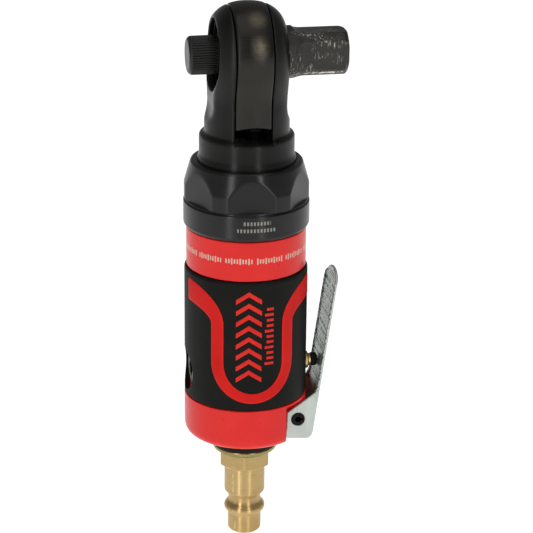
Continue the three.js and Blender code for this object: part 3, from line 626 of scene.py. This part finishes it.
def make_valve():
    """The valve's parts that show: bushing, stem and its button, and the cap on the far side."""
    at = (0, 0, VALVE)
    bushing = turned("valve_collar", [
        (1.6, 9), (4.85, 9), (4.85, 16.2), (2.75, 16.2), (2.75, 19.4), (2.5, 19.7), (2.25, 19.7),
        (2.25, 15.8), (1.6, 15.8), (1.6, 13.2), (2.65, 13.2), (2.65, 11.6), (1.6, 11.6),
    ], "x", at, 0.12, 64)
    finish(even_shading(bushing), "tool_body", "brass", "valve_bushing")
    stem = turned("valve_rod", [
        (0, -2), (1.3, -2), (1.3, 18.4), (1.9, 18.4), (1.9, 20.5), (1, 20.5), (1, 21.6), (0, 21.6),
    ], "x", at, 0.12, 48)
    finish(even_shading(stem), "valve", "brass", "valve_stem")
    button = turned("stem_button", [
        (0, 21.7), (1.1, 21.7), (1.1, 20.6), (2.1, 20.6), (2.1, 22.2), (1.5, 22.6), (0.8, 22.6), (0.7, 22.8),
        (0, 22.8),
    ], "x", at, 0.15, 48)
    finish(even_shading(button), "valve", "black_plastic", "stem_cap")

    def socket(turn, r, h):
        if h > -15.4 or r > 2.95:
            return np.full(turn.shape, r)
        return r / np.cos((turn % (math.pi / 3)) - math.pi / 6) * 0.97

    cap = turned("far_side_cap", [
        (0, -14.7), (2.6, -14.7), (2.6, -17.1), (5.5, -17.1), (5.9, -16.7), (5.9, -15.7), (4.7, -15.7),
        (4.7, -9), (3.9, -9), (3.9, -12.5), (0, -12.5),
    ], "x", at, 0.15, 96, 1, socket)
    finish(even_shading(cap), "tool_body", "brass", "valve_cap", look="dark_brass")


# ---- Air inlet and rear exhaust ----


def hex_section(turn, r, h):
    """The plug's hexagon, between its turned chamfers."""
    if not (-132.9 < h < -127.3 and r > 6.7):
        return np.full(turn.shape, r)
    return hexagon(turn, r, PLUG_FLAT, PLUG_TURN)


def make_inlet():
    """The exhaust ring, the washer and the air plug."""
    (_, _, ring_low), (_, _, ring_high) = span("exhaust_deflector")
    ring = turned("rear_exhaust_ring", [
        (7, ring_low), (10.2, ring_low), (10.4, ring_low + 0.3), (10.4, ring_high), (9.7, ring_high),
        (9.7, ring_low + 1), (7, ring_low + 1),
    ], ease=0.15, segments=128)
    outlets = []
    for degrees in (50, 90, 130):
        outlet = block("outlet", (9, 12), (-1.6, 1.6), (ring_low + 1.5, ring_high - 0.9))
        outlet.matrix_world = turned_about_origin(degrees, "Z")
        outlets.append(outlet)
    finish(even_shading(cut(ring, *outlets)), "tool_body", "black_plastic", "exhaust_deflector")
    washer = turned("brass_washer", [
        (6.7, -127.3), (9.1, -127.3), (10.1, -126.5), (10.1, -125.6), (9.8, -125.2), (6.7, -125.2),
    ], ease=0.25)
    finish(even_shading(washer), "tool_body", "olive_brass", "deflector_washer")
    plug = turned("air_plug", [
        (3.7, FLOOR), (4.6, FLOOR), (5.2, FLOOR + 0.7), (5.2, -149.8), (5.55, -149.2), (6.25, -148.5),
        (6.42, -147.8), (6.35, -147.2), (5.9, -146.5), (5.25, -145.7), (5.05, -144.9), (5.05, -143.9),
        (5.4, -143.1), (6.3, -142.1), (6.35, -141.6), (6.35, -133.1), (7.3, -132.75), (8.65, -131.8),
        (8.7, -127.7), (8.3, -127.4), (6.5, -127.4), (6.5, -110.2), (4.4, -110.2), (4.4, -113.5),
        (3.7, -113.5),
    ], ease=0.25, segments=300, step=0.5, section=hex_section)
    finish(even_shading(plug), "tool_body", "brass", "inlet_plug")


# ---- Materials ----


class Look:
    """A material whose nodes read the place on the object, in metres from the row frame's origin."""

    def __init__(self, name, metallic=0.0, **values):
        self.name = name
        self.material = bpy.data.materials.new(name + "_look")
        self.material.use_nodes = True
        self.tree = self.material.node_tree
        self.shader = self.tree.nodes["Principled BSDF"]
        self.shader.inputs["Metallic"].default_value = metallic
        for socket, value in values.items():
            self.shader.inputs[socket.replace("_", " ")].default_value = value
        self.place = self.node("ShaderNodeTexCoord").outputs["Object"]

    def node(self, kind, sockets=None, **settings):
        made = self.tree.nodes.new(kind)
        for key, value in settings.items():
            setattr(made, key, value)
        for key, value in (sockets or {}).items():
            self.put(made.inputs[key], value)
        return made

    def put(self, socket, value):
        if isinstance(value, bpy.types.NodeSocket):
            self.tree.links.new(value, socket)
        else:
            socket.default_value = value

    def math(self, operation, a, b=0.0, c=0.0):
        return self.node("ShaderNodeMath", {0: a, 1: b, 2: c}, operation=operation).outputs[0]

    def noise(self, size_mm, stretch=(1, 1, 1), detail=3.0, roughness=0.5):
        """Noise whose features are about that size, longer where stretch is below 1."""
        scale = [1 / (size_mm * MM) * way for way in stretch]
        mapped = self.node("ShaderNodeMapping", {"Vector": self.place, "Scale": scale}).outputs[0]
        return self.node("ShaderNodeTexNoise", {
            "Vector": mapped, "Scale": 1.0, "Detail": detail, "Roughness": roughness}).outputs["Fac"]

    def ramp(self, value, low, high, start=0.0, end=1.0):
        """start at low and below, end at high and above."""
        return self.node("ShaderNodeMapRange", {
            "Value": value, "From Min": low, "From Max": high, "To Min": start, "To Max": end}).outputs[0]

    def mix(self, share, a, b):
        mixer = self.node("ShaderNodeMix", data_type="RGBA")
        for socket, value in (("Factor", share), ("A", a), ("B", b)):
            found = [s for s in mixer.inputs if s.name == socket and s.enabled][0]
            self.put(found, value)
        return [s for s in mixer.outputs if s.enabled][0]

    def colour(self, value):
        self.put(self.shader.inputs["Base Color"], value)

    def roughness(self, value):
        self.put(self.shader.inputs["Roughness"], value)

    def bump(self, height, depth_mm):
        made = self.node("ShaderNodeBump", {"Height": height, "Strength": 1.0, "Distance": depth_mm * MM})
        self.put(self.shader.inputs["Normal"], made.outputs[0])

    def edges(self, low=0.53, high=0.6):
        """1 on sharp outer edges, from the mesh's own curvature."""
        return self.ramp(self.node("ShaderNodeNewGeometry").outputs["Pointiness"], low, high)

    def part(self, name):
        """One of the place's coordinates, from the motor's axis."""
        split = self.node("ShaderNodeSeparateXYZ", {0: self.place}).outputs
        return self.math("SUBTRACT", split["X"], AXIS) if name == "X" else split[name]

    def within(self, value, middle, half, soft):
        """1 where value is within half of middle."""
        off = self.math("ABSOLUTE", self.math("SUBTRACT", value, middle))
        return self.ramp(off, half - soft, half + soft, 1.0, 0.0)


def rgb(red, green, blue):
    """A colour given as it looks on screen, from 0 to 255, as the shader's linear values."""
    shares = [value / 255 for value in (red, green, blue)]
    linear = [share / 12.92 if share < 0.04045 else ((share + 0.055) / 1.055) ** 2.4 for share in shares]
    return (*linear, 1.0)


def metal(name, dark, light, grain=(1, 1, 1), grain_mm=0.5, roughness=(0.3, 0.45), wear_and_painted_highlight=None,
          depth=0.004, metallic=1.0, **values):
    """Metal with cloudy colour, fine tool lines, and edges rubbed bright."""
    look = Look(name, metallic, **values)
    clouds = look.noise(9, detail=4)
    lines = look.noise(grain_mm, grain, 4, 0.6)
    weighed = look.math("ADD", look.math("MULTIPLY", clouds, 0.6), look.math("MULTIPLY", lines, 0.4))
    tone = look.ramp(weighed, 0.35, 0.65)
    colour = look.mix(tone, dark, light)
    if wear_and_painted_highlight:
        rub = look.math("MULTIPLY", look.edges(), look.ramp(look.noise(1.2, detail=5), 0.4, 0.6))
        colour = look.mix(rub, colour, wear_and_painted_highlight)
    look.colour(colour)
    look.roughness(look.ramp(weighed, 0.35, 0.65, *roughness))
    look.bump(lines, depth)
    return look


def housing_look():
    """Semi-gloss red enamel with a faint orange peel and a ring of grouped pale ticks."""
    look = Look("red_paint", IOR=1.34)
    x, y, z = look.part("X"), look.part("Y"), look.part("Z")
    turn = look.math("DIVIDE", look.math("ARCTAN2", y, x), 2 * math.pi)
    groups, ticks, ring_height = 12.0, 132.0, -0.0588
    tall_half, short_half = 0.00095, 0.00068
    tick = look.ramp(look.math("FRACT", look.math("MULTIPLY", turn, ticks)), 0.5, 0.56, 1.0, 0.0)
    group = look.ramp(look.math("FRACT", look.math("MULTIPLY", turn, groups)), 0.86, 0.862, 1.0, 0.0)
    third = look.math("FRACT", look.math("MULTIPLY", turn, ticks / 3))
    tall = look.ramp(third, 0.32, 0.34, tall_half, short_half)
    off = look.math("ABSOLUTE", look.math("SUBTRACT", z, ring_height))
    ring = look.math("LESS_THAN", off, tall)
    dashes = look.math("MULTIPLY", look.math("MULTIPLY", tick, group), ring)
    paint = look.mix(look.ramp(look.noise(14, detail=3), 0.35, 0.65), rgb(211, 27, 22), rgb(219, 32, 26))
    look.colour(look.mix(look.math("MULTIPLY", dashes, 0.8), paint, rgb(206, 192, 172)))
    look.roughness(look.ramp(look.noise(3, detail=4), 0.3, 0.7, 0.27, 0.36))
    look.bump(look.noise(1.2, detail=1), 0.0015)
    return look


def rubber_look(name, dark, light):
    """Matt moulded rubber with a fine spark-eroded grain."""
    look = Look(name, IOR=1.2)
    grain = look.noise(0.28, detail=3, roughness=0.7)
    cloud = look.noise(8, detail=3)
    edge = look.math("MULTIPLY", look.edges(0.52, 0.6), 0.5)
    rubbed = [min(1, 2.2 * c) for c in light]
    look.colour(look.mix(edge, look.mix(look.ramp(cloud, 0.3, 0.7), dark, light), rubbed))
    look.roughness(look.ramp(grain, 0.3, 0.7, 0.5, 0.66))
    look.bump(grain, 0.02)
    return look


# fine turning lines run round the part, so its highlights stretch along the axis
TURNED = {"Anisotropic": 0.95, "Anisotropic_Rotation": 0.25}


def nut_look():
    """Gloss black oxide with turning lines, and rows of pale ticks on the band."""
    look = metal("nut_black", rgb(6, 6, 6), rgb(12, 12, 11), (0.02, 0.02, 1), 0.25, (0.28, 0.36),
                 None, 0.0012, 0.0, IOR=1.42, **TURNED)
    x, y, z = look.part("X"), look.part("Y"), look.part("Z")
    turn = look.math("ARCTAN2", y, x)
    front, ticks_a_radian, half_height, blur = -math.pi / 2 - 0.01, 19.0, 0.00055, 0.00008
    rows = [
        look.math("MULTIPLY", look.within(z, height, half_height, blur),
                  look.within(turn, front, half_length, 0.002))
        for height, half_length in ((-0.0467, 0.22), (-0.0489, 0.31))
    ]
    tick = look.ramp(look.math("FRACT", look.math("MULTIPLY", turn, ticks_a_radian)), 0.5, 0.6, 1.0, 0.0)
    marks = look.math("MULTIPLY", look.math("MAXIMUM", *rows), tick)
    before = look.shader.inputs["Base Color"].links[0].from_socket
    look.colour(look.mix(look.math("MULTIPLY", marks, 0.75), before, rgb(150, 147, 136)))
    return look


def yoke_look():
    """Black oxide, with two soft warm-grey patches on its round front: painted highlights that stand for a lamp's
    reflections.
    """
    look = metal("yoke_steel", rgb(12, 12, 11), rgb(24, 23, 19), (0.05, 0.2, 1), 0.3, (0.26, 0.4), None,
                 0.003, 0.0, IOR=1.37, Specular_Tint=(1.0, 0.97, 0.88, 1))
    # painted highlight: an upper and a lower soft patch, where a lamp's reflection falls on the round front
    x, z = look.part("X"), look.part("Z")
    upper = look.within(z, 0.0122, 0.0012, 0.0011)
    lower = look.math("MULTIPLY", look.within(z, 0.0052, 0.0022, 0.0016), 0.9)
    wear_and_painted_highlight = look.math("MULTIPLY", look.math("ADD", upper, lower), look.within(x, 0.0012, 0.0014, 0.0018))
    wear_and_painted_highlight = look.math("MULTIPLY", wear_and_painted_highlight, look.ramp(look.noise(1.6, detail=4), 0.3, 0.6, 0.45, 0.9))
    before = look.shader.inputs["Base Color"].links[0].from_socket
    # the painted highlight's warm grey, mixed into the base colour
    look.colour(look.mix(wear_and_painted_highlight, before, rgb(112, 101, 84)))
    return look


def make_looks():
    """Every look by its name. around is the grain of a turned part: lines that run round Z."""
    around, even = (0.03, 0.03, 1), (1, 1, 1)
    looks = [
        metal("black_steel", rgb(9, 9, 8), rgb(18, 18, 16), around, 0.35, (0.32, 0.44), None,
              0.003, 0.0, IOR=1.32, **TURNED),
        yoke_look(),
        nut_look(),
        drive_look(),
        metal("knob_steel", rgb(20, 20, 18), rgb(28, 28, 25), even, 2, (0.34, 0.44), None,
              0.0005, 0.0, IOR=1.4),
        # painted shade: a darker, duller copy of the black steel for parts in the head's recess and slot
        metal("painted_shade_steel", rgb(6, 6, 6), rgb(11, 11, 10), even, 0.4, (0.45, 0.6), None,
              0.003, 0.0, IOR=1.25),
        metal("hard_steel", rgb(138, 140, 142), rgb(172, 174, 176), (0.1, 1, 1), 0.3, (0.22, 0.35)),
        metal("spring_steel", rgb(150, 152, 155), rgb(185, 187, 190), even, 0.2, (0.2, 0.32)),
        metal("zinc_steel", rgb(170, 179, 172), rgb(192, 200, 193), (1, 1, 0.1), 0.7, (0.34, 0.48),
              rgb(222, 228, 222), 0.004, 0.7),
        torn_look(),
        housing_look(),
        rubber_look("grip_rubber", rgb(13, 14, 12), rgb(19, 20, 17)),
        rubber_look("band_rubber", rgb(190, 22, 18), rgb(203, 28, 23)),
        rubber_look("print_red", rgb(204, 36, 30), rgb(218, 46, 37)),
        rubber_look("seal_rubber", rgb(16, 16, 16), rgb(24, 24, 24)),
        metal("brass", rgb(178, 151, 97), rgb(212, 186, 131), around, 0.16, (0.34, 0.42), rgb(232, 212, 164),
              0.002, **TURNED),
        metal("dark_brass", rgb(40, 34, 26), rgb(62, 52, 38), even, 0.4, (0.35, 0.5)),
        metal("olive_brass", rgb(124, 116, 74), rgb(156, 146, 98), around, 0.2, (0.2, 0.32),
              rgb(220, 214, 180), 0.003),
        metal("bronze", rgb(150, 104, 58), rgb(176, 128, 76), even, 0.3, (0.35, 0.5)),
        metal("aluminium", rgb(176, 179, 181), rgb(200, 203, 205), around, 0.3, (0.3, 0.42)),
        metal("composite", rgb(92, 62, 40), rgb(122, 86, 54), (1, 1, 0.05), 0.3, (0.55, 0.7), None,
              0.01, 0.0),
        rubber_look("black_plastic", rgb(22, 22, 22), rgb(32, 32, 31)),
        metal("felt", rgb(140, 135, 124), rgb(168, 162, 150), even, 0.3, (0.9, 1.0), None, 0.08, 0.0),
    ]
    return {look.name: look.material for look in looks}


def drive_look():
    """Blacked drive steel with brighter rubbed edges and slanting scratches."""
    look = metal("drive_steel", rgb(28, 27, 24), rgb(52, 50, 44), (0.15, 1, 1), 0.3, (0.3, 0.46),
                 rgb(215, 210, 198), 0.003, 0.2, IOR=1.38)
    scratch = look.ramp(look.noise(0.5, (1.0, 1.0, 0.22), 4, 0.7), 0.54, 0.62)
    patches = look.ramp(look.noise(5, detail=3), 0.44, 0.56)
    before = look.shader.inputs["Base Color"].links[0].from_socket
    bare = look.math("MULTIPLY", look.math("MULTIPLY", scratch, patches), 0.7)
    look.colour(look.mix(bare, before, rgb(176, 172, 160)))
    return look


def torn_look():
    """The sheet's sheared edge: dark torn metal with bright flecks."""
    look = Look("torn_edge", 0.6)
    flecks = look.ramp(look.noise(0.9, detail=5, roughness=0.75), 0.44, 0.56)
    look.colour(look.mix(flecks, rgb(40, 42, 42), rgb(196, 202, 198)))
    look.roughness(look.ramp(flecks, 0.0, 1.0, 0.7, 0.4))
    look.bump(look.noise(0.35, detail=4), 0.05)
    return look


def finish(made, body, slot, *nodes, look=None):
    """Gives a piece its material, its body and the CAD nodes that it stands for."""
    made.data.materials.clear()
    made.data.materials.append(LOOKS[look or slot])
    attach(made, body)
    if nodes:
        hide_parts(*nodes)


# ---- Stage, light and camera ----

FLOOR_GLOW = 0.9


def make_stage():
    """A wide pale floor that the air plug stands on."""
    work = bmesh.new()
    bmesh.ops.create_circle(work, cap_ends=True, cap_tris=True, segments=96, radius=6)
    floor_mesh = bpy.data.meshes.new("floor")
    work.to_mesh(floor_mesh)
    work.free()
    floor = bpy.data.objects.new("floor", floor_mesh)
    floor.location = (AXIS, 0, FLOOR * MM)
    bpy.context.scene.collection.objects.link(floor)
    look = Look("pale_floor", Roughness=0.9, Emission_Strength=FLOOR_GLOW)
    tone = look.mix(look.noise(60), (0.86, 0.86, 0.86, 1), (0.89, 0.89, 0.89, 1))
    look.colour(tone)
    look.put(look.shader.inputs["Emission Color"], tone)
    floor.data.materials.append(look.material)


TARGET = Vector((AXIS, 0, -0.0669))
CAMERA_AZIMUTH, CAMERA_ELEVATION, CAMERA_ROLL = map(math.radians, (-11, 20.3, 0.6))
CAMERA_DISTANCE, CAMERA_ASIDE = 0.627, 0.0063


def from_front(azimuth, elevation):
    """The direction towards someone who stands in front of the tool, turned by azimuth to the right."""
    level = math.cos(elevation)
    return Vector((math.sin(azimuth) * level, -math.cos(azimuth) * level, math.sin(elevation)))


def area_light(name, azimuth, elevation, distance, size, power):
    """A lamp that faces the tool from that direction, with angles in degrees."""
    data = bpy.data.lights.new(name, "AREA")
    data.shape, data.energy = "RECTANGLE", power
    data.size, data.size_y = size
    light = bpy.data.objects.new(name, data)
    away = from_front(math.radians(azimuth), math.radians(elevation))
    light.location = TARGET + away * distance
    light.rotation_euler = away.to_track_quat("Z", "Y").to_euler()
    bpy.context.scene.collection.objects.link(light)


def make_light():
    """A dim white room, two tall strip lamps in front and a wide soft lamp above."""
    world = bpy.data.worlds.new("studio")
    world.use_nodes = True
    room = world.node_tree.nodes["Background"].inputs
    room["Color"].default_value = (1, 1, 1, 1)
    room["Strength"].default_value = 0.2
    bpy.context.scene.world = world
    area_light("left_strip", -40, 16, 1.2, (0.17, 1.3), 4.2)
    area_light("right_strip", 18, 16, 1.2, (0.13, 1.3), 3.0)
    area_light("top_box", 0, 80, 1.3, (1.2, 1.2), 4)


def make_camera():
    """The photo's camera, a little to the tool's left and above it."""
    data = bpy.data.cameras.new("camera")
    data.lens, data.sensor_width = 138.5, 36
    data.clip_end = 50
    camera = bpy.data.objects.new("camera", data)
    back = from_front(CAMERA_AZIMUTH, CAMERA_ELEVATION)
    right = Vector((math.cos(CAMERA_AZIMUTH), math.sin(CAMERA_AZIMUTH), 0))
    place = TARGET + right * CAMERA_ASIDE + back * CAMERA_DISTANCE
    turn = Matrix((right, back.cross(right), back)).transposed() @ Matrix.Rotation(CAMERA_ROLL, 3, "Z")
    camera.matrix_world = Matrix.Translation(place) @ turn.to_4x4()
    bpy.context.scene.collection.objects.link(camera)
    bpy.context.scene.camera = camera
    bpy.context.scene.view_settings.view_transform = "Standard"


# nodes that sit in the shade of the head or the lever: the darker, duller steel they get is painted shade
PAINTED_SHADE_NODES = {
    "head_retaining_ring": "painted_shade_steel", "lever_pin": "painted_shade_steel", "crankshaft": "painted_shade_steel",
    "drive_bushing": "painted_shade_steel",
}


def dress_cad_nodes():
    """Gives every CAD node the look of its slot, or the painted-shade steel for the nodes above, also those that
    stay inside the tool.
    """
    for subpart in frame["record"]["subparts"]:
        node = frame["nodes"][subpart["node"]]
        if not node.material_slots:
            node.data.materials.append(None)
        for material_slot in node.material_slots:
            material_slot.material = LOOKS[PAINTED_SHADE_NODES.get(subpart["node"], subpart["material_slot"])]


LOOKS = make_looks()
dress_cad_nodes()
make_camera()
make_head()
make_nut()
make_body()
make_grip_marks()
make_lever()
make_valve()
make_inlet()
make_stage()
make_light()
